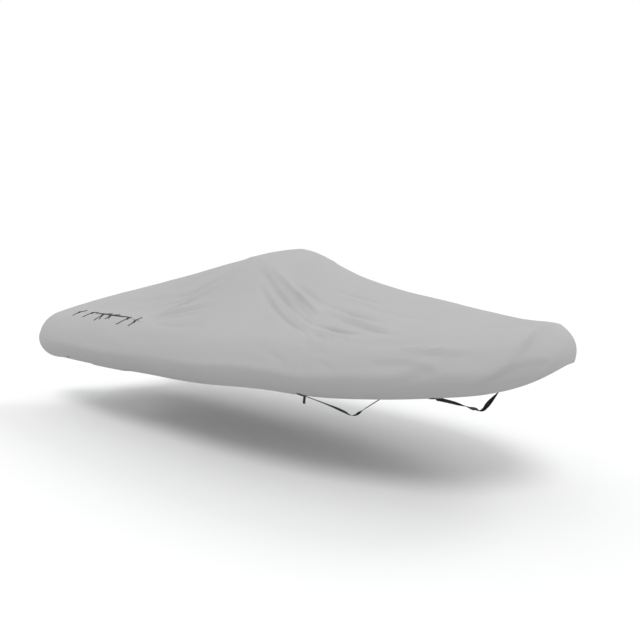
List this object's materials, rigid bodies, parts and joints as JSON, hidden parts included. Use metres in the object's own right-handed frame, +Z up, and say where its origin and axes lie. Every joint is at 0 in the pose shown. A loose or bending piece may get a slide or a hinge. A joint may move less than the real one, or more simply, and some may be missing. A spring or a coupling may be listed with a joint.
{
  "type": "fitted boat cover",
  "caption": "Fitted pale grey cloth cover for a rigid inflatable boat, hollow below, with tied side slits and black belly straps.",
  "frame": {"origin": "point under the cover's highest part, on its centreline, where the covered boat holds it up", "axes": "+X towards the bow, +Y to port, +Z up"},
  "size_m": [7.0687, 2.496, 1.6422],
  "materials": {
    "cloth": "matt woven polyester canvas, pale silver grey",
    "webbing": "matt black woven webbing",
    "tie_cord": "matt black braided cord"
  },
  "bodies": {
    "root": {"cover_cloth": "cloth", "belly_strap_front": "webbing", "belly_strap_mid": "webbing", "hem_loop_front_stbd": "webbing", "hem_loop_front_port": "webbing", "hem_loop_mid_stbd": "webbing", "hem_loop_mid_port": "webbing", "stern_loop_stbd": "webbing", "stern_loop_port": "webbing", "strap_tail": "webbing", "tie_stbd_a": "tie_cord", "tie_stbd_b": "tie_cord", "tie_stbd_c": "tie_cord", "tie_stbd_d": "tie_cord", "tie_stbd_e": "tie_cord", "tie_stbd_f": "tie_cord", "tie_port_a": "tie_cord", "tie_port_b": "tie_cord", "tie_port_c": "tie_cord", "tie_port_d": "tie_cord", "tie_port_e": "tie_cord", "tie_port_f": "tie_cord"}
  },
  "joints": []
}
